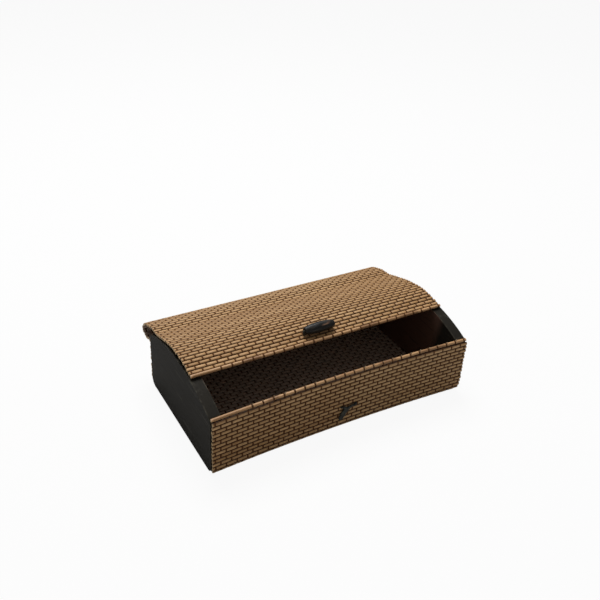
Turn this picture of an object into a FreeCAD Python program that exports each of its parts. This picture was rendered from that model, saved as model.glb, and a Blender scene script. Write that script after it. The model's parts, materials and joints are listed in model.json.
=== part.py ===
import FreeCAD, Part
import math
import os

# A roll-top box: two wooden end panels carry one woven mat of split bamboo sticks.
# The mat is the front wall, the floor, the back wall and, over the arched panels, the lid.
# Millimetres. X runs along the sticks, Y from the front to the back, Z up.
# The origin is on the resting plane, in the middle of the panels.

# End panels
length = 240.0
panel_thickness = 9.5
panel_depth = 124.7
panel_top = 67.75
arch_radius = 144.0
panel_lower_corner = 6.0
panel_upper_corner = 6.0

# Sticks: flattened rounds laid side by side
stick_width = 3.0
stick_thickness = 2.0
stick_pitch = 3.6
rim_diameter = 2.7
edge_rod_diameter = 2.8

# Warp threads that tie the sticks together
thread_count = 52
thread_width = 0.7
thread_thickness = 0.35
thread_clearance = 0.03
panel_clearance = 0.02

# Front wall: it sags inwards between the panels, and the floor takes the sag up
wall_bow = 3.0
bow_fade_length = 42.0
front_row_height = 51.9
rim_setback = 2.85
rim_height = 55.2

# Lid, pushed back along the arch
lid_clearance = 0.5
lid_edge_setback = 40.75
lid_rear_setback = 13.6
strip_thread_clearance = 0.08
lid_ridge_height = 2.0
lid_ridge_stick = 6
lid_ridge_end_stick = 19

# Slack of the lid, folded behind the back wall
fold_stick_count = 17
fold_hinge_height = 44.4
fold_kick = (3.2, 1.9)
fold_dip = (9.4, -1.3)
fold_nose_low = (16.6, -0.9)
fold_nose = (20.6, 3.4)
fold_shoulder = (15.4, 9.8)
fold_top = (3.6, 14.4)
fold_crest = (-6.8, 16.5)
fold_reach_limits = (0.4, 2.2)
fold_halvings = 40
fold_samples = 900

# Toggle bead on its thong
bead_length = 28.0
bead_diameter = 9.0
bead_end_diameter = 5.6
bead_end_rounding = 0.9
bead_bore = 2.6
bead_stand_off = 0.25
thong_diameter = 2.0
thong_bend = 1.6
thong_bead_gap = 0.45
bead_strips_ahead_count = 1
bead_threads_left_count = 25.5

# Latch loop: a folded leather lace on the front wall
lace_thickness = 1.6
lace_wall_gap = 0.35
lace_end_gap = 0.3
lace_rows_above_count = 8
lace_left = -3.4
lace_right = 6.5
lace_left_rise = 0.6
lace_right_drop = 0.6
lace_right_side = (4.6, 2.9)
lace_neck_right = (0.4, 5.2)
lace_bight_right = (-2.4, 11.3)
lace_bight = (-5.0, 12.6)
lace_bight_left = (-6.4, 10.0)
lace_neck_left = (-2.9, 3.6)
lace_left_side = (-2.9, 1.5)

# Ends of both laces, pulled through the mat and knotted inside
tab_width = 1.8
tab_thickness = 0.5
knot_width = 2.6
knot_thickness = 1.0
knot_clearance = 0.06

# Worked out from the sizes above
half_length = length / 2
half_depth = panel_depth / 2
stick_half = stick_thickness / 2
mat_gap = thread_clearance + thread_thickness + panel_clearance
mat_offset = stick_half + mat_gap
panel_bottom = stick_thickness + mat_gap
arch_centre = panel_top - arch_radius
lid_offset = stick_half + thread_thickness + strip_thread_clearance + lid_clearance
lid_radius = arch_radius + lid_offset
thread_spacing = length / thread_count
inner_half_length = half_length - panel_thickness
lid_pitch_angle = 2 * math.asin(stick_pitch / 2 / lid_radius)
lid_edge_angle = math.asin((lid_edge_setback - half_depth - mat_offset - stick_half) / lid_radius)
lid_rear_angle = math.asin((half_depth - lid_rear_setback) / lid_radius)
lid_strip_count = round((lid_rear_angle - lid_edge_angle) / lid_pitch_angle / 2 - 0.25)
lid_rear_stick = 2 * lid_strip_count


def point(x, y, z):
    return FreeCAD.Vector(x, y, z)


def along(angle, distance=1.0):
    """Vector in the YZ plane at an angle from +Y."""
    return FreeCAD.Vector(0, distance * math.cos(angle), distance * math.sin(angle))


def bow_radius(bow):
    """Radius of a stick whose middle stands bow behind its places on the two panels."""
    return (inner_half_length ** 2 + bow ** 2) / (2 * bow)


def bow_at(x, bow):
    radius = bow_radius(bow)
    return bow - (radius - math.sqrt(radius ** 2 - x ** 2))


def stadium(centre, angle, width, thickness):
    """Cross-section of a stick: two flats joined by half rounds, its width along angle."""
    core = along(angle, (width - thickness) / 2)
    side = along(angle + math.pi / 2, thickness / 2)
    tip = along(angle, width / 2)
    edges = [
        Part.makeLine(centre - core + side, centre + core + side),
        Part.Arc(centre + core + side, centre + tip, centre + core - side).toShape(),
        Part.makeLine(centre + core - side, centre - core - side),
        Part.Arc(centre - core - side, centre - tip, centre - core + side).toShape(),
    ]
    return Part.Face(Part.Wire(edges))


def straight_stick(y, z, angle, width=stick_width, thickness=stick_thickness):
    face = stadium(point(-half_length, y, z), angle, width, thickness)
    return face.extrude(point(length, 0, 0))


def round_rod(y, z, diameter):
    return Part.makeCylinder(diameter / 2, length, point(-half_length, y, z), point(1, 0, 0))


def bowed(face, y, bow):
    """Sweep a cross-section along the arc of a stick that sags backwards by bow."""
    radius = bow_radius(bow)
    axis = point(0, y + bow - radius, 0)
    half_turn = math.degrees(math.asin(half_length / radius))
    face.rotate(axis, point(0, 0, 1), half_turn)
    return face.revolve(axis, point(0, 0, 1), -2 * half_turn)


def body_line(distance):
    """Place on the fixed part of the mat, at a distance from the middle of the floor."""
    side = math.copysign(1, distance)
    past = abs(distance)
    radius = panel_lower_corner + mat_offset
    reach = half_depth - panel_lower_corner
    quarter = radius * math.pi / 2
    if past < reach:
        return distance, stick_half, 0.0
    past -= reach
    if past < quarter:
        turn = past / radius
        rise = stick_half + radius * (1 - math.cos(turn))
        return side * (reach + radius * math.sin(turn)), rise, side * turn
    return side * (half_depth + mat_offset), stick_half + radius + past - quarter, side * math.pi / 2


def body_run(height):
    """Length of the mat from the middle of the floor to a height on the front or back wall."""
    radius = panel_lower_corner + mat_offset
    return half_depth - panel_lower_corner + radius * math.pi / 2 + height - stick_half - radius


def bow_of_row(distance):
    """The sag is full on the front wall and fades out across the floor."""
    start = half_depth - panel_lower_corner - bow_fade_length
    return wall_bow * min(1.0, max(0.0, (-distance - start) / bow_fade_length))


def body_rows():
    """Sticks of the fixed mat, front to back: (y, z, angle, bow, wall name)."""
    front_run = body_run(front_row_height)
    back_run = body_run(fold_hinge_height)
    front_count = round(front_run / stick_pitch)
    back_count = round(back_run / stick_pitch - 0.5)
    front_pitch = front_run / front_count
    back_pitch = back_run / (back_count + 0.5)
    places = [-front_pitch * index for index in range(front_count, 0, -1)]
    places += [back_pitch * index for index in range(back_count + 1)]
    rows = []
    for distance in places:
        y, z, angle = body_line(distance)
        if abs(angle) < math.pi / 4:
            wall = "floor"
        elif distance < 0:
            wall = "front"
        else:
            wall = "back"
        rows.append((y, z, angle, bow_of_row(distance), wall))
    return rows


def end_panel(start):
    """Upright board with a flat bottom, rounded corners and an arched top."""
    reach = half_depth - panel_upper_corner
    shoulder = arch_centre + math.sqrt((arch_radius - panel_upper_corner) ** 2 - reach ** 2)
    lean = math.atan2(shoulder - arch_centre, reach)
    lower = panel_lower_corner
    middle = lower * (1 - math.sqrt(0.5))

    def at(y, z):
        return point(start, y, z)

    arch_end = along(lean, arch_radius)
    corner_middle = along(lean / 2, panel_upper_corner)
    edges = [
        Part.makeLine(at(-half_depth + lower, panel_bottom), at(half_depth - lower, panel_bottom)),
        Part.Arc(at(half_depth - lower, panel_bottom), at(half_depth - middle, panel_bottom + middle),
                 at(half_depth, panel_bottom + lower)).toShape(),
        Part.makeLine(at(half_depth, panel_bottom + lower), at(half_depth, shoulder)),
        Part.Arc(at(half_depth, shoulder), at(reach + corner_middle.y, shoulder + corner_middle.z),
                 at(arch_end.y, arch_centre + arch_end.z)).toShape(),
        Part.Arc(at(arch_end.y, arch_centre + arch_end.z), at(0, panel_top),
                 at(-arch_end.y, arch_centre + arch_end.z)).toShape(),
        Part.Arc(at(-arch_end.y, arch_centre + arch_end.z),
                 at(-reach - corner_middle.y, shoulder + corner_middle.z),
                 at(-half_depth, shoulder)).toShape(),
        Part.makeLine(at(-half_depth, shoulder), at(-half_depth, panel_bottom + lower)),
        Part.Arc(at(-half_depth, panel_bottom + lower), at(-half_depth + middle, panel_bottom + middle),
                 at(-half_depth + lower, panel_bottom)).toShape(),
    ]
    return Part.Face(Part.Wire(edges)).extrude(point(panel_thickness, 0, 0))


def wall_sticks(wall):
    sticks = []
    for y, z, angle, bow, name in body_rows():
        if name != wall:
            continue
        if bow > 0:
            face = stadium(point(0, y + bow, z), angle, stick_width, stick_thickness)
            sticks.append(bowed(face, y, bow))
        else:
            sticks.append(straight_stick(y, z, angle))
    return Part.makeCompound(sticks)


def rim_rod():
    """Round rod along the top of the front wall, bowed with it."""
    y = -half_depth - mat_offset - stick_half + rim_setback
    circle = Part.makeCircle(rim_diameter / 2, point(0, y + wall_bow, rim_height), point(1, 0, 0))
    return bowed(Part.Face(Part.Wire([circle])), y, wall_bow)


def body_thread(x):
    """One warp thread behind the sticks: down the front wall, along the floor, up the back."""
    near = mat_gap - thread_clearance
    far = near - thread_thickness
    shift = bow_at(x, wall_bow)
    top_front = front_row_height + stick_half
    top_back = fold_hinge_height - stick_pitch / 2 + stick_half
    centre_height = panel_bottom + panel_lower_corner
    front_centre = shift - half_depth + panel_lower_corner
    back_centre = half_depth - panel_lower_corner
    start = x - thread_width / 2

    def at(y, z):
        return point(start, y, z)

    def side(offset):
        radius = panel_lower_corner + offset
        slant = radius * math.sqrt(0.5)
        return [
            Part.makeLine(at(front_centre - radius, top_front), at(front_centre - radius, centre_height)),
            Part.Arc(at(front_centre - radius, centre_height),
                     at(front_centre - slant, centre_height - slant),
                     at(front_centre, centre_height - radius)).toShape(),
            Part.makeLine(at(front_centre, centre_height - radius), at(back_centre, centre_height - radius)),
            Part.Arc(at(back_centre, centre_height - radius),
                     at(back_centre + slant, centre_height - slant),
                     at(back_centre + radius, centre_height)).toShape(),
            Part.makeLine(at(back_centre + radius, centre_height), at(back_centre + radius, top_back)),
        ]

    inner = panel_lower_corner + far
    outer = panel_lower_corner + near
    ends = [
        Part.makeLine(at(front_centre - inner, top_front), at(front_centre - outer, top_front)),
        Part.makeLine(at(back_centre + inner, top_back), at(back_centre + outer, top_back)),
    ]
    wire = Part.Wire(Part.__sortEdges__(side(near) + side(far) + ends))
    return Part.Face(wire).extrude(point(thread_width, 0, 0))


def thread_places():
    return [(index + 0.5) * thread_spacing - half_length for index in range(thread_count)]


def thread_gap_place(index):
    """Middle of the space between two warp threads."""
    return index * thread_spacing - half_length


def body_threads():
    return Part.makeCompound([body_thread(x) for x in thread_places()])


def lid_angle(index):
    """Angle of a lid stick around the arch's centre, from straight up and towards the back."""
    return lid_edge_angle + index * lid_pitch_angle


def lid_ridge(index):
    """Height of the low ridge that the pushed lid is bent over, and its slope towards the back."""
    if not 0 < index < lid_ridge_end_stick:
        return 0, 0
    run = lid_ridge_stick
    share = index / run
    if index > lid_ridge_stick:
        run = lid_ridge_stick - lid_ridge_end_stick
        share = (index - lid_ridge_end_stick) / run
    height = lid_ridge_height * (1 - math.cos(math.pi * share)) / 2
    slope = lid_ridge_height * math.pi * math.sin(math.pi * share) / (2 * run * stick_pitch)
    return height, slope


def lid_place(index):
    """Place on the lid's middle surface; index 0 is the front rod and halves are gaps."""
    turn = lid_angle(index)
    height, slope = lid_ridge(index)
    radius = lid_radius + height
    return radius * math.sin(turn), arch_centre + radius * math.cos(turn), math.atan(slope) - turn


def lid_strips():
    """Stick numbers in each strip of two, from the front; the rear stick is on its own."""
    return [[2 * number, 2 * number + 1] for number in range(lid_strip_count)]


def lid_stick(index):
    y, z, angle = lid_place(index)
    return straight_stick(y, z, angle)


def lid_edge_rod():
    """Round rod that lies on the same threads as the flat sticks behind it."""
    y, z, angle = lid_place(0)
    lift = along(angle + math.pi / 2, edge_rod_diameter / 2 - stick_half)
    return round_rod(y + lift.y, z + lift.z, edge_rod_diameter)


def strip_threads(members):
    """The warp threads' run behind one strip, in the strip's own slant."""
    middle = (members[0] + members[-1]) / 2
    y, z, angle = lid_place(middle)
    run = (members[-1] - members[0]) * stick_pitch + stick_width - stick_thickness
    depth = stick_half + strip_thread_clearance + thread_thickness
    ties = []
    for x in thread_places():
        tie = Part.makeBox(thread_width, run, thread_thickness,
                           point(x - thread_width / 2, -run / 2, -depth))
        tie.rotate(point(0, 0, 0), point(1, 0, 0), math.degrees(angle))
        tie.translate(point(0, y, z))
        ties.append(tie)
    return Part.makeCompound(ties)


def fold_guide(reach):
    """Line of the slack: out from the back wall, round its nose and forward onto the arch."""
    start_y = half_depth + mat_offset
    places = [point(0, start_y, fold_hinge_height)]
    for across, up in (fold_kick, fold_dip, fold_nose_low, fold_nose, fold_shoulder, fold_top, fold_crest):
        places.append(point(0, start_y + across * reach, fold_hinge_height + up))
    for index in (lid_rear_stick + 0.5, lid_rear_stick - 1):
        y, z, angle = lid_place(index)
        places.append(point(0, y, z))
    curve = Part.BSplineCurve()
    curve.interpolate(places)
    return curve


def chord_steps(reach):
    """Walk the guide in stick pitches; returns the hinge places and what is left to the lid."""
    curve = fold_guide(reach)
    samples = curve.discretize(fold_samples)
    end_y, end_z, angle = lid_place(lid_rear_stick + 0.5)
    end = point(0, end_y, end_z)
    joints = [samples[0]]
    place = 0
    for step in range(fold_stick_count):
        while place < len(samples) - 2 and samples[place + 1].distanceToPoint(joints[-1]) < stick_pitch:
            place += 1
        before = samples[place].distanceToPoint(joints[-1])
        after = samples[place + 1].distanceToPoint(joints[-1])
        share = (stick_pitch - before) / (after - before)
        joints.append(samples[place] + (samples[place + 1] - samples[place]) * share)
    heading = along(angle + math.pi)
    return joints, (end - joints[-1]).dot(heading)


def fold_joints():
    """Hinge places of the slack, with its reach set so that the last one is the lid's own."""
    low, high = fold_reach_limits
    for halving in range(fold_halvings):
        reach = (low + high) / 2
        joints, left = chord_steps(reach)
        if left < 0:
            low = reach
        else:
            high = reach
    return joints


def fold_stick(start, end):
    middle = (start + end) * 0.5
    angle = math.atan2(end.z - start.z, end.y - start.y)
    return straight_stick(middle.y, middle.z, angle)


def toggle_frame():
    """The toggle's middle in X, and the lid surface's place and slant below it."""
    members = lid_strips()[bead_strips_ahead_count]
    y, z, angle = lid_place((members[0] + members[-1]) / 2)
    return thread_gap_place(bead_threads_left_count), y, z, angle


def on_lid(shape):
    """Move a shape drawn over the origin, with Z as the lid's outward side, to the toggle."""
    x, y, z, angle = toggle_frame()
    shape.rotate(point(0, 0, 0), point(1, 0, 0), math.degrees(angle))
    shape.translate(point(x, y, z))
    return shape


def bead_height():
    return stick_half + bead_stand_off + bead_diameter / 2


def toggle_bead():
    """Barrel-shaped bead with blunt ends and a bore along it."""
    half = bead_length / 2
    height = bead_height()
    outline = [
        Part.makeLine(point(-half, 0, height), point(half, 0, height)),
        Part.makeLine(point(half, 0, height), point(half, 0, height + bead_end_diameter / 2)),
        Part.Arc(point(half, 0, height + bead_end_diameter / 2), point(0, 0, height + bead_diameter / 2),
                 point(-half, 0, height + bead_end_diameter / 2)).toShape(),
        Part.makeLine(point(-half, 0, height + bead_end_diameter / 2), point(-half, 0, height)),
    ]
    barrel = Part.Face(Part.Wire(outline)).revolve(point(0, 0, height), point(1, 0, 0), 360)
    rims = [edge for edge in barrel.Edges
            if abs(abs(edge.CenterOfMass.x) - half) < 0.01 and len(edge.Vertexes) < 2]
    barrel = barrel.makeFillet(bead_end_rounding, rims)
    bore = Part.makeCylinder(bead_bore / 2, bead_length, point(-half, 0, height), point(1, 0, 0))
    return on_lid(barrel.cut(bore))


def thong_foot_reach():
    """Distance from the bead's middle to each place where its thong enters the mat."""
    need = bead_length / 2 + thong_bead_gap + thong_bend
    half_spaces = math.ceil(need / thread_spacing - 0.5)
    return (half_spaces + 0.5) * thread_spacing


def toggle_thong():
    """Round thong: up from the mat, through the bead and down again, knotted inside."""
    foot = thong_foot_reach()
    height = bead_height()
    base = stick_half + thread_clearance
    slant = thong_bend * (1 - math.sqrt(0.5))
    route = Part.Wire([
        Part.makeLine(point(-foot, 0, base), point(-foot, 0, height - thong_bend)),
        Part.Arc(point(-foot, 0, height - thong_bend), point(-foot + slant, 0, height - slant),
                 point(-foot + thong_bend, 0, height)).toShape(),
        Part.makeLine(point(-foot + thong_bend, 0, height), point(foot - thong_bend, 0, height)),
        Part.Arc(point(foot - thong_bend, 0, height), point(foot - slant, 0, height - slant),
                 point(foot, 0, height - thong_bend)).toShape(),
        Part.makeLine(point(foot, 0, height - thong_bend), point(foot, 0, base)),
    ])
    circle = Part.makeCircle(thong_diameter / 2, point(-foot, 0, base), point(0, 0, 1))
    thong = route.makePipeShell([Part.Wire([circle])], True, True)
    inner = stick_half + strip_thread_clearance + thread_thickness + knot_clearance
    for x in (-foot, foot):
        tab = Part.makeBox(tab_width, tab_thickness, base + inner + knot_thickness / 2,
                           point(x - tab_width / 2, -tab_thickness / 2, -inner - knot_thickness / 2))
        knot = Part.makeBox(knot_width, knot_width, knot_thickness,
                            point(x - knot_width / 2, -knot_width / 2, -inner - knot_thickness))
        thong = thong.fuse([tab, knot])
    return on_lid(thong.removeSplitter())


def lace_axis():
    """Ends of the line on which the latch loop turns, in front of the wall."""
    rows = [row for row in body_rows() if row[4] == "front"]
    gap_height = (rows[lace_rows_above_count - 1][1] + rows[lace_rows_above_count][1]) / 2
    face = -half_depth - mat_offset - stick_half + wall_bow
    y = face - lace_wall_gap - lace_thickness / 2
    left = point(lace_left, y, gap_height + lace_left_rise)
    right = point(lace_right, y, gap_height - lace_right_drop)
    return left, right, gap_height, face


def latch_loop():
    """Two legs of a flat lace that meet at a neck and run down to the loop's bight."""
    left, right, gap_height, face = lace_axis()
    start = left.y - lace_thickness / 2

    def at(place):
        across, drop = place
        return point(across, start, gap_height - drop)

    left_top = (left.x, -lace_left_rise)
    right_top = (right.x, lace_right_drop)
    edges = [
        Part.makeLine(at(left_top), at(right_top)),
        Part.Arc(at(right_top), at(lace_right_side), at(lace_neck_right)).toShape(),
        Part.makeLine(at(lace_neck_right), at(lace_bight_right)),
        Part.Arc(at(lace_bight_right), at(lace_bight), at(lace_bight_left)).toShape(),
        Part.makeLine(at(lace_bight_left), at(lace_neck_left)),
        Part.Arc(at(lace_neck_left), at(lace_left_side), at(left_top)).toShape(),
    ]
    plate = Part.Face(Part.Wire(edges)).extrude(point(0, lace_thickness, 0))
    rounding = Part.makeCylinder(lace_thickness / 2, left.distanceToPoint(right), left, right - left)
    return plate.fuse(rounding).removeSplitter()


def latch_ends():
    """The lace's two ends: along the wall, in between two rows of sticks and knotted inside."""
    left, right, gap_height, face = lace_axis()
    heading = (right - left).normalize()
    radius = lace_thickness / 2
    inner = face + stick_thickness + thread_clearance + thread_thickness + knot_clearance
    ends = []
    left_foot = thread_gap_place(math.floor((left.x + half_length) / thread_spacing))
    right_foot = thread_gap_place(math.ceil((right.x + lace_end_gap + half_length) / thread_spacing))
    for tip, foot, outward in ((left, left_foot, -1), (right, right_foot, 1)):
        inner_end = tip + heading * (outward * lace_end_gap)
        reach = abs(foot - inner_end.x) + tab_width / 2
        run = Part.makeCylinder(radius, reach, inner_end, heading * outward)
        tab = Part.makeBox(tab_width, inner + knot_thickness / 2 - left.y, tab_thickness,
                           point(foot - tab_width / 2, left.y, gap_height - tab_thickness / 2))
        knot = Part.makeBox(knot_width, knot_thickness, knot_width,
                            point(foot - knot_width / 2, inner, gap_height - knot_width / 2))
        ends.append(run.fuse([tab, knot]).removeSplitter())
    return Part.makeCompound(ends)


def save(shape, node):
    shape.exportStep("parts/" + node + ".step")


os.makedirs("parts", exist_ok=True)

save(end_panel(-half_length), "left_end_panel")
save(end_panel(half_length - panel_thickness), "right_end_panel")
save(wall_sticks("front"), "front_wall_sticks")
save(wall_sticks("floor"), "floor_sticks")
save(wall_sticks("back"), "back_wall_sticks")
save(rim_rod(), "front_rim_rod")
save(body_threads(), "body_warp_threads")

hinges = fold_joints()
for number in range(fold_stick_count):
    save(fold_stick(hinges[number], hinges[number + 1]), "fold_stick_%02d" % (number + 1))

save(lid_edge_rod(), "lid_edge_rod")
for number, strip in enumerate(lid_strips(), start=1):
    flat_members = [index for index in strip if index > 0]
    save(Part.makeCompound([lid_stick(index) for index in flat_members]), "lid_sticks_%02d" % number)
    save(strip_threads(strip), "lid_threads_%02d" % number)
save(lid_stick(lid_rear_stick), "lid_rear_stick")
save(strip_threads([lid_rear_stick]), "lid_rear_threads")

save(toggle_bead(), "toggle_bead")
save(toggle_thong(), "toggle_thong")
save(latch_loop(), "latch_loop")
save(latch_ends(), "latch_lace_ends")
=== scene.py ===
import json
import math

import bmesh
import bpy
import numpy as np
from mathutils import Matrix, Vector


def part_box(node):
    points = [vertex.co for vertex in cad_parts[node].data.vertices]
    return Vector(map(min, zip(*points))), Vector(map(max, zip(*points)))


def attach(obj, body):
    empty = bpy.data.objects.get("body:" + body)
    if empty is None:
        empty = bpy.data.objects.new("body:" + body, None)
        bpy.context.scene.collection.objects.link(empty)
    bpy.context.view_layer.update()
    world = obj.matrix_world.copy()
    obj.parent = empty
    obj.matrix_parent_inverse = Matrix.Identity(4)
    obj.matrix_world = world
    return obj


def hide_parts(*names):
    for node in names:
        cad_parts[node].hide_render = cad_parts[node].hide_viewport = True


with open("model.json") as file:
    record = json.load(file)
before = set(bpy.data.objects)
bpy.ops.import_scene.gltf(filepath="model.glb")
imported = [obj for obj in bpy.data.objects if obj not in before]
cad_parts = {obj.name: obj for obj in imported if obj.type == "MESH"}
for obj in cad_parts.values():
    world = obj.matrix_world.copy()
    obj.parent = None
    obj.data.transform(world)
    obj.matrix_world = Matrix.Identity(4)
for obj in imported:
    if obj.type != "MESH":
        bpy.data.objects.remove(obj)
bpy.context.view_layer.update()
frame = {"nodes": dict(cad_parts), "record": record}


# ---- End panels --------------------------------------------------------------------------
# Two upright boards with an arched top, sawn from a plain close-grained wood and stained black.
# The grain runs front to back. Stain is thin on the eased arrises, where hands rub it.

mm = 0.001
panel_outer = 120 * mm
panel_thickness = 9.5 * mm
panel_half_depth = 62.35 * mm
arch_radius = 144 * mm
arch_centre_height = -76.25 * mm
arris_width = 0.5 * mm
arris_steps = 3
arris_least_angle = math.radians(50)


class Finish:
    """One output in a material's node tree. Arithmetic with numbers and outputs adds Math nodes."""

    def __init__(self, tree, socket=None):
        self.tree = tree
        self.socket = socket

    def node(self, kind, settings, sockets, output=0):
        """A node of this type, with its settings and then its sockets' values or links."""
        made = self.tree.nodes.new("ShaderNode" + kind)
        for name, value in settings.items():
            setattr(made, name, value)
        for name, value in sockets.items():
            if isinstance(value, Finish):
                self.tree.links.new(value.socket, made.inputs[name])
            else:
                made.inputs[name].default_value = value
        return Finish(self.tree, made.outputs[output] if made.outputs else None)

    def math(self, operation, *terms):
        return self.node("Math", {"operation": operation}, dict(enumerate(terms)))

    def __add__(self, other):
        return self.math("ADD", self, other)

    def __sub__(self, other):
        return self.math("SUBTRACT", self, other)

    def __rsub__(self, other):
        return self.math("SUBTRACT", other, self)

    def __mul__(self, other):
        return self.math("MULTIPLY", self, other)

    def __pow__(self, other):
        return self.math("POWER", self, other)

    def __abs__(self):
        return self.math("ABSOLUTE", self)

    __radd__ = __add__
    __rmul__ = __mul__

    def least(self, other):
        return self.math("MINIMUM", self, other)

    def most(self, other):
        return self.math("MAXIMUM", self, other)

    def fade(self, start, end):
        """0 up to start, 1 from end on, eased in between; start may be the larger."""
        low, high = min(start, end), max(start, end)
        risen = self.node("MapRange", {"interpolation_type": "SMOOTHSTEP"},
                          {"Value": self, "From Min": low, "From Max": high})
        return risen if start < end else 1 - risen

    def between(self, first, second):
        """Colour that goes from first to second as this value goes from 0 to 1."""
        return self.node("Mix", {"data_type": "RGBA"}, {0: self, 6: first, 7: second}, 2)

    def shaded(self, colour):
        """The colour, times this value."""
        grey = self.node("CombineColor", {}, {0: self, 1: self, 2: self})
        return self.node("Mix", {"data_type": "RGBA", "blend_type": "MULTIPLY"},
                         {0: 1.0, 6: colour, 7: grey}, 2)

    def place(self):
        return self.node("TexCoord", {}, {}, "Object")

    def stretched(self, x, y, z):
        """Places in features per metre along each axis."""
        return self.node("VectorMath", {"operation": "MULTIPLY"}, {0: self.place(), 1: (x, y, z)})

    def grain(self, x, y, z, detail=3.0):
        """Noise from 0 to 1 with so many features per metre along each axis."""
        return self.node("TexNoise", {}, {"Vector": self.stretched(x, y, z), "Scale": 1.0,
                                          "Detail": detail, "Roughness": 0.55}, "Fac")

    def mark(self, name):
        """A value that the mesh carries at each of its points."""
        return self.node("Attribute", {"attribute_name": name}, {}, "Fac")

    def bumped(self, height, distance):
        """Relief of this height, from 0 to 1, over so many metres."""
        return self.node("Bump", {}, {"Height": height, "Distance": distance, "Strength": 1.0})


def tint(red, green, blue):
    """Linear colour of an sRGB one in 0 to 255."""
    parts = [value / 255 for value in (red, green, blue)]
    linear = [part / 12.92 if part < 0.04045 else ((part + 0.055) / 1.055) ** 2.4 for part in parts]
    return (*linear, 1.0)


def finished(name, surface):
    """A material; surface gets its empty node tree and returns what feeds its Principled shader."""
    material = bpy.data.materials.new(name)
    material.use_nodes = True
    material.node_tree.nodes.clear()
    start = Finish(material.node_tree)
    shader = start.node("BsdfPrincipled", {}, surface(start))
    start.node("OutputMaterial", {}, {"Surface": shader})
    return material


stain_deep, stain_thin, stain_cloud = tint(23, 20, 15), tint(40, 36, 28), tint(32, 29, 23)
stain_scuffed, stain_rubbed_off = tint(62, 59, 52), tint(84, 80, 68)
# Painted shade: a reddish-brown tone that stands in for how the panels' inner faces look in the
# lid's shadow.
lid_shadow_brown = tint(90, 67, 56)


def stained_wood(wood):
    x, y, z = (wood.node("SeparateXYZ", {}, {0: wood.place()}, axis) for axis in "XYZ")
    fibres = wood.grain(900, 45, 900, 4.0)
    rings = wood.grain(160, 9, 160, 2.0)
    cloud = wood.grain(28, 20, 28, 2.0).fade(0.35, 0.7)
    scuffs = wood.grain(70, 30, 260).fade(0.60, 0.70)
    pores = fibres.fade(0.58, 0.7)

    half = panel_thickness / 2
    inwards = (panel_outer - half) - abs(x)
    rise = z - arch_centre_height
    to_arch = arch_radius - (rise * rise + y * y) ** 0.5
    to_edge = to_arch.least(panel_half_depth - abs(y))
    near_arris = (half - abs(inwards)).most(to_edge).fade(1.3 * mm, 0.2 * mm)
    arris = near_arris * wood.grain(300, 140, 300).fade(0.42, 0.62)
    inner_face = inwards.fade(half - 0.3 * mm, half - 0.1 * mm)
    # Painted shade: behind a slanting line, where the lid's shadow falls, the inner faces take a
    # reddish-brown tone.
    painted_lid_shadow = inner_face * (y + 0.15 * z).fade(-34 * mm, -24 * mm)

    colour = (fibres * 0.6 + rings * 0.4).between(stain_deep, stain_thin)
    colour = cloud.between(colour, stain_cloud)
    colour = (scuffs * 0.5).between(colour, stain_scuffed)
    colour = painted_lid_shadow.between(colour, lid_shadow_brown)
    colour = (arris * 0.35).between(colour, stain_rubbed_off)
    return {
        "Base Color": (1 - pores * 0.35).shaded(colour),
        "Roughness": 0.60 + 0.22 * fibres,
        "Specular IOR Level": 0.12,
        "Normal": wood.bumped(fibres * 0.7 + rings * 0.3, 0.12 * mm),
    }


panel_finish = finished("black_stained_wood", stained_wood)
for side in ("left", "right"):
    panel = frame["nodes"][side + "_end_panel"]
    panel.data.materials.clear()
    panel.data.materials.append(panel_finish)
    easing = panel.modifiers.new("eased_arrises", "BEVEL")
    easing.width = arris_width
    easing.segments = arris_steps
    easing.limit_method = "ANGLE"
    easing.angle_limit = arris_least_angle
    easing.harden_normals = False


# ---- Sticks of the mat -------------------------------------------------------------------
# Split bamboo, its bark side out, planed flat and stained dark brown on the inside. Warp threads
# nip each stick where they cross it. The ends were cut by hand, so they are a little uneven.

half_length = 120 * mm
pitch = 3.6 * mm
fold_stick_count = 17
lid_strip_count = 10
thread_count = 52
weld_distance = 0.001 * mm
end_slice = 0.15 * mm


def sticks_in(node):
    """The sticks of a CAD node: where their ends lie in (y, z), their slant and their sag."""
    solids = bmesh.new()
    solids.from_mesh(frame["nodes"][node].data)
    bmesh.ops.remove_doubles(solids, verts=solids.verts, dist=weld_distance)
    found = []
    for seed in solids.verts:
        if seed.tag:
            continue
        seed.tag = True
        reached, ahead = [], [seed]
        while ahead:
            vert = ahead.pop()
            reached.append(tuple(vert.co))
            for edge in vert.link_edges:
                other = edge.other_vert(vert)
                if not other.tag:
                    other.tag = True
                    ahead.append(other)
        places = np.array(reached)
        ends = places[places[:, 0] < places[:, 0].min() + end_slice][:, 1:]
        middle = (ends.max(0) + ends.min(0)) / 2
        widest = np.linalg.eigh(np.cov((ends - middle).T))[1][:, 1]
        sag = places[:, 1].max() - (ends[:, 0].max() - middle[0]) - middle[0]
        found.append({"node": node, "middle": middle, "slant": widest, "sag": max(0.0, sag)})
    solids.free()
    return found


body_of_node = {node: body
                for body, nodes in frame["record"]["behaviour"]["bodies"].items()
                for node in nodes}
fold_nodes = ["fold_stick_%02d" % number for number in range(1, fold_stick_count + 1)]
lid_nodes = ["lid_sticks_%02d" % number for number in range(lid_strip_count, 0, -1)]

# The rows of the mat in order: down the front wall, under the box, up its back and over to the
# lid's front edge.
front = sorted(sticks_in("front_wall_sticks"), key=lambda stick: -stick["middle"][1])
floor = sorted(sticks_in("floor_sticks"), key=lambda stick: stick["middle"][0])
back = sorted(sticks_in("back_wall_sticks"), key=lambda stick: stick["middle"][1])
mat = front + floor + back
for node in fold_nodes:
    mat += sticks_in(node)
for node in ["lid_rear_stick"] + lid_nodes:
    mat += sorted(sticks_in(node), key=lambda stick: -stick["middle"][0])

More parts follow.
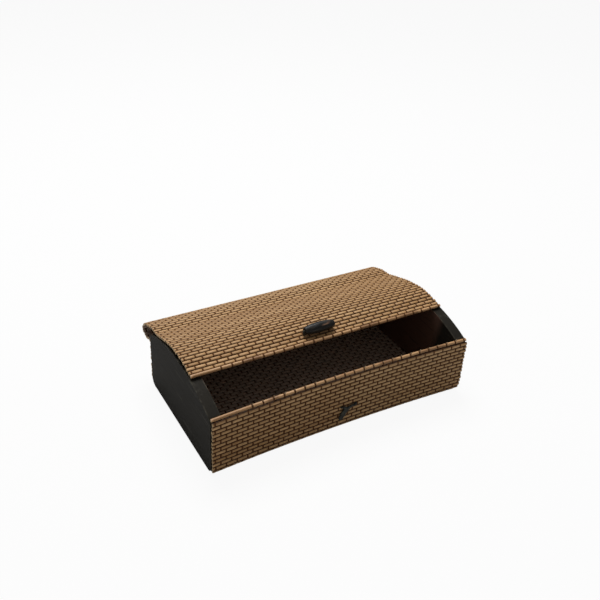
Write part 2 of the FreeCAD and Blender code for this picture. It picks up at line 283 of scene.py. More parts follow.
row_count = len(mat)
middles = np.array([stick["middle"] for stick in mat])
sags = np.array([stick["sag"] for stick in mat])
runs = np.array([stick["slant"] for stick in mat])
travel = np.gradient(middles, axis=0)
runs *= np.sign((runs * travel).sum(1))[:, None]
outs = np.stack([runs[:, 1], -runs[:, 0]], 1)

# Neighbouring sticks are pressed against each other, also where the mat bends or sags. A stick is
# wider by this much towards the neighbour before it, and by that much towards the one after it.
pressed_share = 0.035
bends = np.arccos(np.clip((runs[:-1] * runs[1:]).sum(1), -1, 1))
sagged = middles + sags[:, None] * [1, 0]
apart = [np.linalg.norm(np.diff(places, axis=0), axis=1) for places in (middles, sagged)]
reaches = np.maximum(*apart) / np.cos(bends / 2) / pitch + pressed_share
room_before = np.append(1.0, reaches)
room_after = np.append(reaches, 1.0)

# The mat lies a little askew, so its ends are set in unevenly from the panels' outer faces: at
# these rows by so many mm on the left and on the right, and evenly in between.
front_end = len(front)
floor_end = front_end + len(floor)
back_end = floor_end + len(back)
fold_end = back_end + fold_stick_count
insets = [(0, 0.5, 0.9), (front_end - 3, 0.3, 0.5), (front_end - 1, 0.9, 1.5),
          (front_end, 2.6, 3.4), (front_end + 4, 2.6, 3.4),
          (floor_end - 4, 1.7, 1.4), (floor_end - 1, 0.4, 0.2), (back_end + 6, 0.7, 2.8),
          (fold_end - 1, 1.0, 3.2), (row_count - 1, 1.1, 1.2)]
turning_rows, left_insets, right_insets = zip(*insets)
every_row = np.arange(row_count)
left_ends = np.interp(every_row, turning_rows, left_insets) * mm - half_length
right_ends = half_length - np.interp(every_row, turning_rows, right_insets) * mm
thread_share = (np.arange(thread_count) + 0.5) / thread_count
thread_x = left_ends[:, None] + thread_share * (right_ends - left_ends)[:, None]


def row_places(rows, x):
    """Middle of each row in (y, z) at each x, with the sag of the bowed ones."""
    places = np.repeat(middles[rows][:, None], x.shape[-1], 1)
    places[..., 0] += sags[rows][:, None] * (1 - (x / half_length) ** 2)
    return places


# A stick's section: along the mat and out of it, a rounded bark side over a flat planed one.
section = np.array([
    (1.78, -0.05), (1.40, 0.50), (0.90, 0.84), (0.32, 1.00), (-0.32, 1.00), (-0.90, 0.84),
    (-1.40, 0.50), (-1.78, -0.05), (-1.40, -0.60), (-0.62, -0.97), (0.62, -0.97), (1.40, -0.60)])
section *= mm
section_points = len(section)
nip_offsets = np.array([-0.86, -0.5, 0.5, 0.86]) * mm
nip_strengths = [0.1, 1.0, 1.0, 0.1]
nip_depth = 0.34
nip_squeeze = 0.02
end_easing = 0.18 * mm
end_size = 0.9
width_waver, depth_waver = 0.02, 0.03
wander_along_mat, wander_out = 0.06 * mm, 0.05 * mm
chance = np.random.default_rng(41)


def outside(rows):
    """True where a warp thread crosses a row on the outside of the mat: [row, thread]."""
    return (rows[:, None] + np.arange(thread_count)) % 2 == 0


def waves(count, x, longest, shortest):
    """Smooth random lines along x, from about -1 to 1, with waves of these lengths in metres."""
    total = np.zeros((count, x.shape[-1]))
    for _ in range(4):
        length = chance.uniform(shortest, longest, (count, 1))
        total += np.sin(2 * np.pi * (x / length + chance.uniform(0, 1, (count, 1))))
    return total / 3


def round_section(values, points):
    """One value a ring, given to every point around it."""
    return np.repeat(values[..., None], points, 2)


def stick_tubes(rows):
    """Places and marks of the sticks in these rows, as arrays of [stick, ring, point around]."""
    count = len(rows)
    nips = (thread_x[rows][:, :, None] + nip_offsets).reshape(count, -1)
    first = left_ends[rows][:, None] + chance.uniform(-0.35, 0.3, (count, 1)) * mm
    last = right_ends[rows][:, None] + chance.uniform(-0.3, 0.35, (count, 1)) * mm
    x = np.concatenate([first, first, first + end_easing, nips, last - end_easing, last, last], 1)
    size = np.ones_like(x)
    size[:, [0, 1, -2, -1]] = end_size

    strength = np.tile(nip_strengths, thread_count)
    crossed_outside = np.repeat(outside(rows), len(nip_strengths), 1)
    nip_outer, nip_inner = np.zeros_like(x), np.zeros_like(x)
    nip_outer[:, 3:-3] = strength * crossed_outside
    nip_inner[:, 3:-3] = strength * ~crossed_outside

    width = size * (1 + width_waver * waves(count, x, 0.09, 0.03))
    width = width * (1 - nip_squeeze * (nip_outer + nip_inner))
    room = np.where(section[:, 0] > 0, room_after[rows][:, None], room_before[rows][:, None])
    across = section[:, 0] * room[:, None] * width[..., None]
    across += (wander_along_mat * waves(count, x, 0.30, 0.10))[..., None]
    depth = np.where(section[:, 1] > 0, (1 - nip_depth * nip_outer)[..., None],
                     (1 - nip_depth * nip_inner)[..., None])
    height = size * (1 + depth_waver * waves(count, x, 0.12, 0.04))
    depth = section[:, 1] * depth * height[..., None]
    depth += (wander_out * waves(count, x, 0.25, 0.08))[..., None]
    places = row_places(rows, x)[:, :, None, :]
    places = places + across[..., None] * runs[rows][:, None, None]
    places = places + depth[..., None] * outs[rows][:, None, None]
    whole = np.concatenate([round_section(x, section_points)[..., None], places], 3)

    # A sawn end that shows its pale pith is marked 1, and an end of the floor sticks, drawn
    # near-black, is marked -1.
    shows_pith = np.array([mat[row]["node"] != "floor_sticks" for row in rows], float)
    cut = np.zeros_like(x)
    cut[:, [0, -1]] = 2 * shows_pith[:, None] - 1
    tone = np.repeat(chance.beta(2.2, 2.2, (count, 1)), x.shape[1], 1)
    side = np.repeat(np.repeat(section[None, None, :, 1] / mm, count, 0), x.shape[1], 1)
    nip = np.maximum(nip_outer[..., None] * (side > -0.1), nip_inner[..., None] * (side < 0.1))
    return whole, {"tone": round_section(tone, section_points), "side": side,
                   "cut": round_section(cut, section_points), "nip": nip}


def tube_mesh(name, places, marks, looped=False):
    """A piece made of closed tubes; places is an array of [tube, ring, point around, xyz]."""
    count, rings, around = places.shape[:3]
    ring, spot = np.meshgrid(np.arange(rings if looped else rings - 1), np.arange(around),
                             indexing="ij")
    beside, beyond = (spot + 1) % around, (ring + 1) % rings
    quads = np.stack([ring * around + spot, ring * around + beside,
                      beyond * around + beside, beyond * around + spot], -1).reshape(-1, 4)
    first_ring = list(range(around))
    last_ring = [(rings - 1) * around + corner for corner in first_ring]
    caps = [] if looped else [first_ring[::-1], last_ring]
    flat = places[0].reshape(-1, 3)
    a, b, c, d = (flat[quads[:, corner]] for corner in range(4))
    volume = (np.cross(b - a, c - a) * a).sum() + (np.cross(c - a, d - a) * a).sum()
    faces = []
    for tube in range(count):
        start = tube * rings * around
        faces += (quads + start).tolist()
        faces += [[corner + start for corner in cap] for cap in caps]
    if volume < 0:
        faces = [face[::-1] for face in faces]
    mesh = bpy.data.meshes.new(name)
    mesh.from_pydata(places.reshape(-1, 3).tolist(), [], faces)
    mesh.polygons.foreach_set("use_smooth", [len(face) == 4 for face in faces])
    for mark, values in marks.items():
        layer = mesh.attributes.new(mark, "FLOAT", "POINT")
        layer.data.foreach_set("value", np.ascontiguousarray(values, np.float32).ravel())
    mesh.update()
    piece = bpy.data.objects.new(name, mesh)
    bpy.context.scene.collection.objects.link(piece)
    return piece


bark_deep, bark_pale = tint(172, 131, 83), tint(204, 163, 114)
bark_streak, bark_patch = tint(150, 108, 64), tint(206, 170, 122)
# Painted shade: the sticks' rounded sides turn dark brown where shade falls in the gaps between
# them.
painted_gap_shade, nip_grime_and_shade_brown = tint(64, 37, 17), tint(84, 50, 22)
# The inner side's dark-brown stain, drawn much lighter as painted light, so that it looks right in
# the shade under the lid.
inside_stain_and_painted_light_deep, inside_stain_and_painted_light_pale = tint(150, 132, 118), tint(184, 164, 148)
pith_deep, pith_pale = tint(120, 88, 52), tint(214, 184, 134)
near_black_floor_end = tint(24, 21, 16)


def bamboo(stick):
    tone, side, cut, nip = (stick.mark(name) for name in ("tone", "side", "cut", "nip"))
    fibres = stick.grain(60, 3200, 3200)
    length_grain = stick.grain(14, 500, 500, 2.0)
    patches = stick.grain(9, 9, 9, 2.0).fade(0.45, 0.75)
    vessels = stick.grain(3000, 3000, 3000, 1.0).fade(0.35, 0.6)
    planed = side.fade(-0.05, -0.5)

    bark = tone.between(bark_deep, bark_pale)
    bark = (length_grain.fade(0.35, 0.7) * 0.6).between(bark, bark_streak)
    bark = (patches * 0.4).between(bark, bark_patch)
    bark = (0.80 + 0.4 * fibres).shaded(bark)
    # Painted shade: the bark darkens to brown down its rounded sides, towards the gaps between the
    # sticks.
    bark = (side.fade(1.02, 0.36) * 0.97).between(bark, painted_gap_shade)
    # The planed inner side: its stain is drawn lighter than it is, as painted light for the shaded
    # inside of the box.
    inside = (length_grain * 0.6 + tone * 0.4).between(inside_stain_and_painted_light_deep, inside_stain_and_painted_light_pale)
    colour = planed.between(bark, inside)
    colour = cut.most(0).between(colour, vessels.between(pith_deep, pith_pale))
    # The ends of the floor sticks are drawn near-black.
    colour = (0 - cut).most(0).between(colour, near_black_floor_end)
    # Where a thread nips the stick it is darker: partly grime from the thread, partly painted shade
    # round the crossing.
    pinched_grime_and_shade = nip * (0.35 + 0.30 * side.fade(-0.5, -0.05))
    return {
        "Base Color": pinched_grime_and_shade.between(colour, nip_grime_and_shade_brown),
        "Roughness": 0.44 + 0.22 * length_grain + 0.2 * planed,
        "Specular IOR Level": 0.3,
        "Normal": stick.bumped(fibres, 0.05 * mm),
    }


bamboo_finish = finished("split_bamboo", bamboo)


def rows_of(*nodes):
    return np.array([row for row, stick in enumerate(mat) if stick["node"] in nodes])


def laid_sticks(name, slot, *nodes):
    """The sticks of some CAD nodes on one body, drawn with their nips, grain and uneven ends."""
    piece = tube_mesh(name, *stick_tubes(rows_of(*nodes)))
    piece.data.materials.append(bamboo_finish)
    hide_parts(*nodes)
    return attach(piece, body_of_node[nodes[0]])


laid_sticks("front_wall_bamboo", "bamboo", "front_wall_sticks")
laid_sticks("floor_bamboo", "stained_bamboo", "floor_sticks")
laid_sticks("back_wall_bamboo", "bamboo", "back_wall_sticks")
for number, node in enumerate(fold_nodes, start=1):
    laid_sticks("fold_bamboo_%02d" % number, "bamboo", node)
laid_sticks("lid_rear_bamboo", "bamboo", "lid_rear_stick")
for number, node in zip(range(lid_strip_count, 0, -1), lid_nodes):
    laid_sticks("lid_bamboo_%02d" % number, "bamboo", node)


# ---- Warp threads of the mat -------------------------------------------------------------
# Dark brown cotton, two strands twisted. Each thread goes over one stick and under the next, and
# its neighbour the other way, so the crossings show like the joints of brickwork.

thread_width = 1.15 * mm
thread_thickness = 0.42 * mm
thread_twist_length = 2.2 * mm
ring_turns = np.arange(6) / 6
ring_angles = 2 * np.pi * ring_turns

# A thread's way over one stick: along the mat, and out of it.
thread_line = np.array([(-1.80, 0.00), (-1.65, 0.42), (-1.25, 0.69), (-0.66, 0.78), (0.00, 0.79),
                        (0.66, 0.78), (1.25, 0.69), (1.65, 0.42), (1.80, 0.00)]) * mm

# Where each thread passes between the rows, as [gap, thread], first in (y, z), then in x.
thread_centres = row_places(every_row, thread_x)
half_step = (runs * pitch / 2)[:, None]
thread_gaps = np.empty((row_count + 1, thread_count, 2))
thread_gaps[0] = thread_centres[0] - half_step[0]
thread_gaps[-1] = thread_centres[-1] + half_step[-1]
thread_gaps[1:-1] = (thread_centres[:-1] + half_step[:-1] + thread_centres[1:] - half_step[1:]) / 2
gap_x = np.concatenate([thread_x[:1], (thread_x[:-1] + thread_x[1:]) / 2, thread_x[-1:]])
gap_x += chance.uniform(-0.16, 0.16, gap_x.shape) * mm


def thread_tubes(rows):
    """Half a wave for each thread over or under each of these rows."""
    along = thread_line[:, 0]
    share = (along - along[0]) / (along[-1] - along[0])
    height = np.where(outside(rows), 1.0, -1.0)[..., None] * thread_line[:, 1]
    run, out = (v[rows][:, None, None] for v in (runs, outs))
    line = thread_centres[rows][:, :, None] + along[:, None] * run + height[..., None] * out
    start_gap = thread_gaps[rows][:, :, None] - line[:, :, :1]
    end_gap = thread_gaps[rows + 1][:, :, None] - line[:, :, -1:]
    line = line + start_gap * ((1 - share) ** 3)[:, None] + end_gap * (share ** 3)[:, None]
    x = gap_x[rows][..., None] * (1 - share) + gap_x[rows + 1][..., None] * share
    tangent = np.gradient(line, axis=2)
    tangent /= np.linalg.norm(tangent, axis=3, keepdims=True)
    normal = np.stack([tangent[..., 1], -tangent[..., 0]], -1)
    fullness = chance.uniform(0.86, 1.14, (len(rows), thread_count, 1, 1))
    wide = thread_width / 2 * fullness * np.cos(ring_angles)
    thick = thread_thickness / 2 * np.sin(ring_angles)
    places = np.concatenate([
        (x[..., None] + wide)[..., None],
        line[:, :, :, None] + normal[:, :, :, None] * thick[:, None]], 4)
    steps = np.linalg.norm(np.diff(line, axis=2, prepend=line[:, :, :1]), axis=3)
    twist = np.cumsum(steps, 2)[..., None] / thread_twist_length + 2 * ring_turns
    tubes = (len(rows) * thread_count, len(thread_line), len(ring_turns))
    return places.reshape(*tubes, 3), {"twist": twist.reshape(tubes)}


cotton_deep, cotton_pale = tint(70, 42, 18), tint(108, 68, 34)
frayed_cotton = tint(176, 152, 120)


def cotton(thread):
    strands = 0.5 + 0.5 * thread.math("SINE", thread.mark("twist") * (2 * math.pi))
    fluff = thread.grain(2600, 2600, 2600, 2.0)
    # Painted shade: the colour is darker along the grooves between the twisted strands and paler on
    # their ridges.
    colour = (strands * 0.6 + fluff * 0.4).between(cotton_deep, cotton_pale)
    colour = (thread.mark("frayed") * (0.6 + 0.4 * fluff)).between(colour, frayed_cotton)
    return {
        "Base Color": colour,
        "Roughness": 0.82 + 0.12 * fluff,
        "Specular IOR Level": 0.2,
        "Normal": thread.bumped(strands * 0.8 + fluff * 0.2, 0.08 * mm),
    }


cotton_finish = finished("brown_cotton_thread", cotton)


def woven_threads(name, body, rows, *nodes):
    piece = tube_mesh(name, *thread_tubes(rows))
    piece.data.materials.append(cotton_finish)
    if nodes:
        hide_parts(*nodes)
    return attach(piece, body)


for place in ("front_wall", "floor", "back_wall"):
    woven_threads(place + "_weave", "box", rows_of(place + "_sticks"), "body_warp_threads")
for number, node in enumerate(fold_nodes, start=1):
    woven_threads("fold_weave_%02d" % number, body_of_node[node], rows_of(node))
woven_threads("lid_rear_weave", "lid_rear", rows_of("lid_rear_stick"), "lid_rear_threads")
for number, node in zip(range(lid_strip_count, 0, -1), lid_nodes):
    woven_threads("lid_weave_%02d" % number, body_of_node[node], rows_of(node),
                  "lid_threads_%02d" % number)


# ---- Rim rod and lid edge rod ------------------------------------------------------------
# A round bamboo rod closes each end of the mat. Every second warp thread is tied round it, and
# its cut end stands up as a short nub. The first ones at the left end have come off.

rod_points = 16
rod_stations = 97
rod_end_size = 0.93
rod_waver = 0.025
rod_wander = 0.06 * mm
rim_drop = 0.3 * mm


def bowed(middle, sag, x):
    """How far in y a rod lies at x, with its ends at middle and sagging in between."""
    return middle + sag * (1 - (x / half_length) ** 2)


def rod_tube(row, middle, sag, radius):
    """A round rod beside a row of the mat, a little uneven, with eased ends."""
    start, end = left_ends[row], right_ends[row]
    x = np.concatenate([[start], np.linspace(start, end, rod_stations), [end]])[None]
    size = 1 + rod_waver * waves(1, x, 0.15, 0.04)
    size[:, [0, 1, -2, -1]] *= rod_end_size
    cut = np.zeros_like(x)
    cut[:, [0, -1]] = 1
    turn = 2 * np.pi * np.arange(rod_points) / rod_points
    y = bowed(middle[0], sag, x) + rod_wander * waves(1, x, 0.3, 0.1)
    z = middle[1] + rod_wander * waves(1, x, 0.3, 0.1)
    ring = radius * size[..., None]
    places = np.stack([round_section(x, rod_points), y[..., None] + ring * np.cos(turn),
                       z[..., None] + ring * np.sin(turn)], -1)
    return places, {"cut": round_section(cut, rod_points)}


rod_pale, rod_tan, rod_knot = tint(196, 154, 108), tint(166, 124, 82), tint(112, 72, 40)


def round_bamboo(rod):
    fibres = rod.grain(50, 2600, 2600)
    length_grain = rod.grain(18, 260, 260, 2.0)
    knot = rod.grain(38, 4, 4, 0.0).fade(0.66, 0.72)
    vessels = rod.grain(3000, 3000, 3000, 1.0).fade(0.35, 0.6)
    colour = length_grain.fade(0.3, 0.7).between(rod_pale, rod_tan)
    colour = (knot * 0.6).between((0.85 + 0.3 * fibres).shaded(colour), rod_knot)
    return {
        "Base Color": rod.mark("cut").between(colour, vessels.between(pith_deep, pith_pale)),
        "Roughness": 0.34 + 0.2 * length_grain,
        "Specular IOR Level": 0.45,
        "Normal": rod.bumped(fibres, 0.04 * mm),
    }


rod_finish = finished("round_bamboo", round_bamboo)


def laid_rod(name, node, row, drop):
    """A rod in its CAD rod's place, lower by drop; gives where it lies, its sag and its radius."""
    low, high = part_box(node)
    radius = (high.z - low.z) / 2
    sag = max(0.0, high.y - low.y - 2 * radius)
    middle = (low.y + radius, (low.z + high.z) / 2 - drop)
    rod = tube_mesh(name, *rod_tube(row, middle, sag, radius))
    rod.data.materials.append(rod_finish)
    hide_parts(node)
    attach(rod, body_of_node[node])
    return middle, sag, radius


tie_lift = 0.02 * mm
tie_slant = 0.25 * mm
tie_half_width = 0.65 * thread_width
tie_rings = 18
nub_radius = 0.42 * mm
nub_swell = np.array([0.8, 0.95, 1.05, 1.1, 0.85])
nub_steps = np.linspace(-0.2, 1.0, len(nub_swell))
nub_fray = 2.6
first_rim_tie, first_edge_tie = 7, 4 + row_count % 2


def rod_ties(row, place, threads, nub_heading, nub_lengths):
    """A closed turn of thread round the rod at each of these threads, and its nub.

    The nubs head this way in (y, z) and are between these lengths, in mm.
    """
    middle, sag, radius = place
    x = thread_x[row][threads] + chance.uniform(-0.2, 0.2, len(threads)) * mm
    turn = np.linspace(0, 2 * np.pi, tie_rings, endpoint=False)
    reach = radius + tie_lift
    ring = reach + (thread_thickness / 2 * np.sin(ring_angles))[None, None]
    y = bowed(middle[0], sag, x)[:, None, None]
    lean = (tie_slant * np.cos(turn + 0.6))[None, :, None]
    side = x[:, None, None] + lean + tie_half_width * np.cos(ring_angles)
    loops = np.stack([
        side,
        y + ring * np.cos(turn)[None, :, None] + 0 * side,
        middle[1] + ring * np.sin(turn)[None, :, None] + 0 * side], -1)
    twist = np.repeat((turn / 2)[None, :, None], len(x), 0) + 2 * ring_turns

    nub_length = chance.uniform(*nub_lengths, (len(x), 1)) * mm
    tilt = chance.uniform(-0.35, 0.35, (len(x), 1))
    head = np.array(nub_heading) / np.hypot(*nub_heading)
    root = np.stack([x, y[:, 0, 0] + head[0] * reach, middle[1] + head[1] * reach + 0 * x], -1)
    heading = np.stack([tilt, head[0] + 0 * tilt, head[1] + 0 * tilt], -1)
    centre = root[:, None] + heading * (nub_steps * nub_length)[..., None]
    flat = np.array([0.0, -head[1], head[0]])
    nubs = (centre[:, :, None] + nub_radius * nub_swell[:, None, None] * (
        np.cos(ring_angles)[:, None] * np.array([1.0, 0, 0])
        + np.sin(ring_angles)[:, None] * flat))
    along_nub = np.repeat(nub_steps[None, :, None], len(x), 0) + 0 * ring_turns
    frayed = np.clip(along_nub * nub_fray, 0, 1)
    return [(loops, {"twist": twist, "frayed": 0 * twist}, True),
            (nubs, {"twist": along_nub + ring_turns, "frayed": frayed})]


def joined(name, body, parts, material):
    """Several groups of tubes as one piece on one body."""
    pieces = [tube_mesh(name if not number else name + "_part", *part)
              for number, part in enumerate(parts)]
    whole = bmesh.new()
    for piece in pieces:
        whole.from_mesh(piece.data)
    whole.to_mesh(pieces[0].data)
    whole.free()
    for piece in pieces[1:]:
        bpy.data.objects.remove(piece)
    pieces[0].data.materials.append(material)
    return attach(pieces[0], body)


rim_place = laid_rod("rim_rod_bamboo", "front_rim_rod", 0, rim_drop)
edge_place = laid_rod("lid_edge_bamboo", "lid_edge_rod", -1, 0.0)

rim_threads = np.arange(first_rim_tie, thread_count, 2)
rim_parts = rod_ties(0, rim_place, rim_threads, (-0.4, 1.0), (1.9, 2.8))
rim_ties = joined("rim_rod_ties", "box", rim_parts, cotton_finish)

edge_threads = np.arange(first_edge_tie, thread_count, 2)
edge_parts = rod_ties(-1, edge_place, edge_threads, (0.4, -0.9), (0.5, 0.9))
edge_ties = joined("lid_edge_ties", "lid_strip_01", edge_parts, cotton_finish)


# ---- Bead and its thong ------------------------------------------------------------------
# A barrel bead, whittled from dark wood, waxed and rubbed smooth on its facets. A round leather
# thong runs through it and down into the mat at both ends, where it is knotted inside.

low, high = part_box("toggle_bead")
bead_middle = np.array([(low.x + high.x) / 2, (low.y + high.y) / 2, (low.z + high.z) / 2])
bead_half = (high.x - low.x) / 2
bead_radius = (high.y - low.y) / 2
bead_end_radius = 3.0 * mm
bead_nose = 0.9 * mm
bead_belly = 2.7
bore_radius = 1.3 * mm
facets = 9
facet_sharpness = 0.55
facet_turn = 0.35
whittling = 0.012
bead_points = 72
bead_stations = 41
nose_angles = np.linspace(0, np.pi / 2, 6)[1:]
mouth_round = 0.2 * mm


def bead_tube():
    """Barrel outside, rounded blunt ends and the bore, as one closed ring of rings."""
    along = np.linspace(-1, 1, bead_stations)
    swell = bead_end_radius + (bead_radius - bead_end_radius) * (1 - np.abs(along) ** bead_belly)
    outer = [(a * (bead_half - bead_nose), r) for a, r in zip(along, swell)]
    right = [(bead_half - bead_nose * (1 - math.sin(b)),
              bead_end_radius - bead_nose * (1 - math.cos(b))) for b in nose_angles]
    right += [(bead_half - 0.1 * mm, bore_radius + mouth_round),
              (bead_half - 0.5 * mm, bore_radius)]
    left = [(-x, r) for x, r in right[::-1]]
    profile = np.array(outer + right + left)
    turn = 2 * np.pi * np.arange(bead_points) / bead_points
    wedge = 2 * np.pi / facets
    flatness = math.cos(wedge / 2) / np.cos((turn + facet_turn) % wedge - wedge / 2)
    skin = np.clip((profile[:, 1] - bore_radius - 0.4 * mm) / (1.0 * mm), 0, 1)[:, None]
    knife = np.sin(3 * turn + 9 * profile[:, :1] / bead_half)
    dent = 1 - facet_sharpness * (1 - flatness) * skin - whittling * skin * knife
    radius = profile[:, 1:] * dent
    return np.stack([bead_middle[0] + profile[:, :1] + 0 * radius,
                     bead_middle[1] + radius * np.cos(turn),
                     bead_middle[2] + radius * np.sin(turn)], -1)[None]


wax_dark, wax_pale = tint(16, 15, 13), tint(29, 27, 23)
# Painted highlight: a pale tan streak along the bead's upper side, right of its middle, where the
# lamp's highlight lies.
wax_scratch, highlight_streak_tan = tint(92, 82, 68), tint(158, 118, 90)
highlight_streak_middle = bead_middle[0] + 5.0 * mm
highlight_streak_height = 3.9 * mm


def waxed_wood(wood):
    x, y, z = (wood.node("SeparateXYZ", {}, {0: wood.place()}, axis) for axis in "XYZ")
    fibres = wood.grain(120, 2400, 2400)
    rub = wood.grain(90, 260, 260, 2.0)
    scratch = wood.grain(40, 900, 900, 2.0).fade(0.60, 0.68)
    above = (z - bead_middle[2]) - (y - bead_middle[1]) * 0.2 - highlight_streak_height
    # Painted highlight: a band along the top of the bead, right of its middle, broken up by the rub
    # grain.
    highlight_streak = abs(x - highlight_streak_middle).fade(6 * mm, 2 * mm) * abs(above).fade(0.5 * mm, 0.1 * mm)
    colour = rub.fade(0.3, 0.75).between(wax_dark, wax_pale)
    colour = (scratch * 0.25).between(colour, wax_scratch)
    colour = (highlight_streak * rub.fade(0.35, 0.65) * 0.6).between(colour, highlight_streak_tan)
    return {
        "Base Color": (0.85 + 0.3 * fibres).shaded(colour),
        "Roughness": 0.36 + 0.22 * rub,
        "Specular IOR Level": 0.32,
        "Normal": wood.bumped(fibres * 0.5 + rub * 0.5, 0.05 * mm),
    }


bead = tube_mesh("barrel_bead", bead_tube(), {}, looped=True)
bead.data.materials.append(finished("waxed_dark_wood", waxed_wood))
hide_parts("toggle_bead")
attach(bead, "bead")


def smooth_line(points, steps):
    """Catmull-Rom line through points, as steps + 1 places."""
    points = np.array(points, float)
    before, after = 2 * points[0] - points[1], 2 * points[-1] - points[-2]
    padded = np.concatenate([[before], points, [after]])
    places = []
    for t in np.linspace(0, len(points) - 1, steps + 1):
        k = min(int(t), len(points) - 2)
        u = t - k
        a, b, c, d = padded[k:k + 4]
        places.append(0.5 * (2 * b + (c - a) * u + (2 * a - 5 * b + 4 * c - d) * u ** 2
                             + (3 * b - a - 3 * c + d) * u ** 3))
    return np.array(places)


cord_waver = 0.05


def cord_tube(line, wide, thick, flat_side, around=14, end_size=0.72):
    """Tube of an oval section along a line; flat_side is the direction of its thickness."""
    tangent = np.gradient(line, axis=0)
    tangent /= np.linalg.norm(tangent, axis=1, keepdims=True)
    side = np.cross(tangent, flat_side)
    side /= np.linalg.norm(side, axis=1, keepdims=True)
    up = np.cross(side, tangent)
    size = np.ones(len(line))
    size[[0, -1]] = end_size
    size = size[:, None]
    wide = np.broadcast_to(wide, len(line))[:, None]
    turn = 2 * np.pi * np.arange(around) / around
    wobble = 1 + cord_waver * np.sin(np.arange(len(line)) * 0.9)[:, None]
    places = line[:, None] + (size * wobble * wide / 2 * np.cos(turn))[..., None] * side[:, None]
    places = places + (size * thick / 2 * np.sin(turn))[..., None] * up[:, None]
    length = np.cumsum(np.linalg.norm(np.diff(line, axis=0, prepend=line[:1]), axis=1))
    return places[None], {"run": round_section(length[None] / mm, around)}


knot_size = 1.9 * mm
knot_cord_width, knot_cord_thickness = 0.95 * mm, 0.8 * mm


def knot_tube(middle, along_out):
    """A small overhand knot: a closed three-lobed line, flattened against the mat."""
    t = np.linspace(0, 2 * np.pi, 61)
    u = (np.sin(t) + 2 * np.sin(2 * t)) / 3
    v = (np.cos(t) - 2 * np.cos(2 * t)) / 3
    w = -np.sin(3 * t)
    across = (1, 0, 0)
    third = np.cross(across, along_out)
    middle, across, out = map(np.array, (middle, across, along_out))
    line = (middle + knot_size * 0.42 * (u[:, None] * across + v[:, None] * third)
            + knot_size * 0.14 * w[:, None] * out)
    return cord_tube(line, knot_cord_width, knot_cord_thickness, along_out, 8, 1.0)


leather_deep, leather_pale = tint(44, 45, 40), tint(66, 66, 58)


def worn_leather(leather):
    pores = leather.node("TexVoronoi", {"feature": "DISTANCE_TO_EDGE"},
                         {"Vector": leather.stretched(2200, 2200, 2200), "Scale": 1.0}, "Distance")
    rub = leather.grain(220, 220, 220)
    creases = leather.math("SINE", leather.mark("run") * 3.1 + rub * 6.0) * 0.5 + 0.5
    colour = rub.fade(0.35, 0.7).between(leather_deep, leather_pale)
    return {
        # Painted shade: the colour is darkened by up to 14 % in the creases.
        "Base Color": (0.86 + 0.14 * creases).shaded(colour),
        "Roughness": 0.55 + 0.25 * rub,
        "Specular IOR Level": 0.4,
        "Normal": leather.bumped(pores * 2.0 + creases * 0.15, 0.10 * mm),
    }


leather_finish = finished("worn_leather", worn_leather)
thong_width = 1.7 * mm
bead_rise = 5.75 * mm
thong_foot = bead_half + 0.25 * mm
lid_slant = math.atan2(-outs[-3][0], outs[-3][1])
lid_up = np.array([0.0, -math.sin(lid_slant), math.cos(lid_slant)])
lid_along = np.array([0.0, math.cos(lid_slant), math.sin(lid_slant)])
thong_base = bead_middle - lid_up * bead_rise


def on_lid(across, up):
    """A place so far to the right of the bead's middle and so far up from the lid."""
    return thong_base + np.array([across, 0, 0]) + lid_up * up


# One leg, from inside the lid to the middle of the bead: outwards from the foot, and up.
thong_leg = [(-1.0 * mm, -1.4 * mm), (-0.9 * mm, 1.2 * mm), (-0.2 * mm, 3.0 * mm),
             (0.1 * mm, 4.3 * mm), (-0.2 * mm, 5.3 * mm), (-1.0 * mm, bead_rise),
             (-5.0 * mm, bead_rise)]
thong_route = [on_lid(-thong_foot - across, up) for across, up in thong_leg]
thong_route += [on_lid(thong_foot + across, up) for across, up in thong_leg[::-1]]
thong_parts = [cord_tube(smooth_line(thong_route, 72), thong_width, thong_width, lid_along)]
knot_inset, knot_depth = 1.0 * mm, 2.0 * mm
for across in (-thong_foot + knot_inset, thong_foot - knot_inset):
    thong_parts.append(knot_tube(on_lid(across, -knot_depth), lid_up))
thong = joined("bead_thong", body_of_node["toggle_thong"], thong_parts, leather_finish)
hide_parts("toggle_thong")


# ---- Latch lace on the front wall --------------------------------------------------------
# A narrow leather lace, doubled into a loop that goes over the bead. Its two ends pass between
# the sticks and are knotted inside. It hangs down, its two legs pressed together.

low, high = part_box("latch_loop")
lace_depth = low.y + 0.8 * mm
gap_height = 24.775 * mm
lace_width = 1.9 * mm
lace_thickness = 1.6 * mm


def on_wall(across, drop, out=0.0):
    """A place so many mm to the right, below the lace's gap and out from the wall."""
    return (across * mm, lace_depth - out * mm, gap_height - drop * mm)


lace_route = [on_wall(6.5, 0.55), on_wall(5.3, 0.95), on_wall(3.5, 1.7), on_wall(1.4, 2.9),
              on_wall(-0.9, 5.4, 0.1), on_wall(-2.6, 8.4, 0.1), on_wall(-3.8, 10.3),
              on_wall(-4.8, 11.2), on_wall(-5.8, 10.4), on_wall(-5.2, 8.8), on_wall(-3.9, 6.6),
              on_wall(-2.2, 4.4), on_wall(-1.0, 2.7), on_wall(-1.2, 1.5), on_wall(-2.2, 0.6),
              on_wall(-3.2, -0.2)]
lace_steps = 90
# Along its way the lace is so many mm wide: step, width.
lace_widths = [(0, 2.2), (6, 2.6), (20, 3.2), (36, 2.5), (56, 2.5), (76, 3.2), (84, 2.6), (90, 1.9)]
lace_spread = np.interp(np.arange(lace_steps + 1), *zip(*lace_widths)) * mm
lace_line = smooth_line(lace_route, lace_steps)
loop_parts = [cord_tube(lace_line, lace_spread, lace_thickness, (0, 1, 0))]
loop_piece = joined("latch_lace_loop", "loop", loop_parts, leather_finish)
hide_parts("latch_loop")

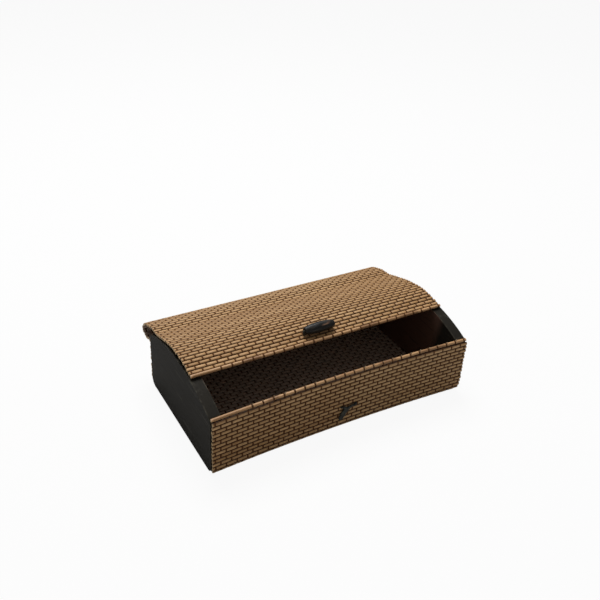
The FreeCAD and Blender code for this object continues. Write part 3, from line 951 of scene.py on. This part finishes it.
low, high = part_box("latch_lace_ends")
wall_inside = high.y - 0.5 * mm
foot_inset = 1.3 * mm
left_foot, right_foot = low.x + foot_inset, high.x - foot_inset
end_parts = []
for start, foot, rise in (((-3.75, -0.62), left_foot, -0.25), ((6.85, 0.62), right_foot, 0.25)):
    begin = np.array(on_wall(*start))
    turn_in = np.array([foot, lace_depth + 0.15 * mm, gap_height - rise * mm])
    knotted = (foot, wall_inside, gap_height)
    route = [begin, begin * 0.5 + turn_in * 0.5, turn_in, (foot, lace_depth + 1.6 * mm, gap_height),
             (foot, wall_inside - 1.0 * mm, gap_height), knotted]
    end_parts.append(cord_tube(smooth_line(route, 30), lace_width, lace_thickness, (0, 0, 1)))
    end_parts.append(knot_tube(knotted, (0, 1, 0)))
lace_ends = joined("latch_lace_tails", "box", end_parts, leather_finish)
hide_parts("latch_lace_ends")


# ---- Table, light and camera -------------------------------------------------------------
# The box stands on a plain white table under a large soft lamp, with an even white surround.

white = (1, 1, 1, 1)
table_grey = (0.72, 0.72, 0.72, 1)
table_size = 40
table_drop = 0.03 * mm
table_glow = 0.93
room_level = 0.205

table_paint = bpy.data.materials.new("white_table")
table_paint.use_nodes = True
table_paint.node_tree.nodes.clear()
paint = Finish(table_paint.node_tree)
matt = paint.node("BsdfDiffuse", {}, {"Color": table_grey, "Roughness": 0.0})
glow = paint.node("Emission", {}, {"Color": white, "Strength": 1.0})
seen = paint.node("LightPath", {}, {}, "Is Camera Ray")
mixed = paint.node("MixShader", {}, {0: seen * table_glow, 1: matt, 2: glow})
paint.node("OutputMaterial", {}, {"Surface": mixed})

bpy.ops.mesh.primitive_plane_add(size=table_size)
table = bpy.context.active_object
table.name = "table_top"
table.location.z = -table_drop
table.data.materials.append(table_paint)

world = bpy.data.worlds.new("white_room")
bpy.context.scene.world = world
world.use_nodes = True
world.node_tree.nodes.clear()
room = Finish(world.node_tree)
seen = room.node("LightPath", {}, {}, "Is Camera Ray")
strength = seen * (1 - room_level) + room_level
room_air = room.node("Background", {}, {"Color": white, "Strength": strength})
room.node("OutputWorld", {}, {"Surface": room_air})

lamp_data = bpy.data.lights.new("soft_lamp_above", "AREA")
lamp_data.shape = "SQUARE"
lamp_data.size = 0.7
lamp_data.energy = 17.5
lamp = bpy.data.objects.new("soft_lamp_above", lamp_data)
bpy.context.scene.collection.objects.link(lamp)
lamp.location = (0.1, 0.52, 1.22)
lamp_aim = Vector((0, 0, 0.04))
lamp.rotation_euler = (lamp_aim - lamp.location).to_track_quat("-Z", "Y").to_euler()

camera_data = bpy.data.cameras.new("camera")
camera_data.lens = 45.2924
camera_data.sensor_width = 36
camera_data.clip_start = 0.01
camera_data.clip_end = 50
camera = bpy.data.objects.new("camera", camera_data)
bpy.context.scene.collection.objects.link(camera)
camera.location = (-0.286008, -0.447532, 0.419521)
camera.rotation_mode = "QUATERNION"
camera.rotation_quaternion = (0.847694, 0.464049, -0.145914, -0.211618)
bpy.context.scene.camera = camera
bpy.context.scene.view_settings.view_transform = "Standard"
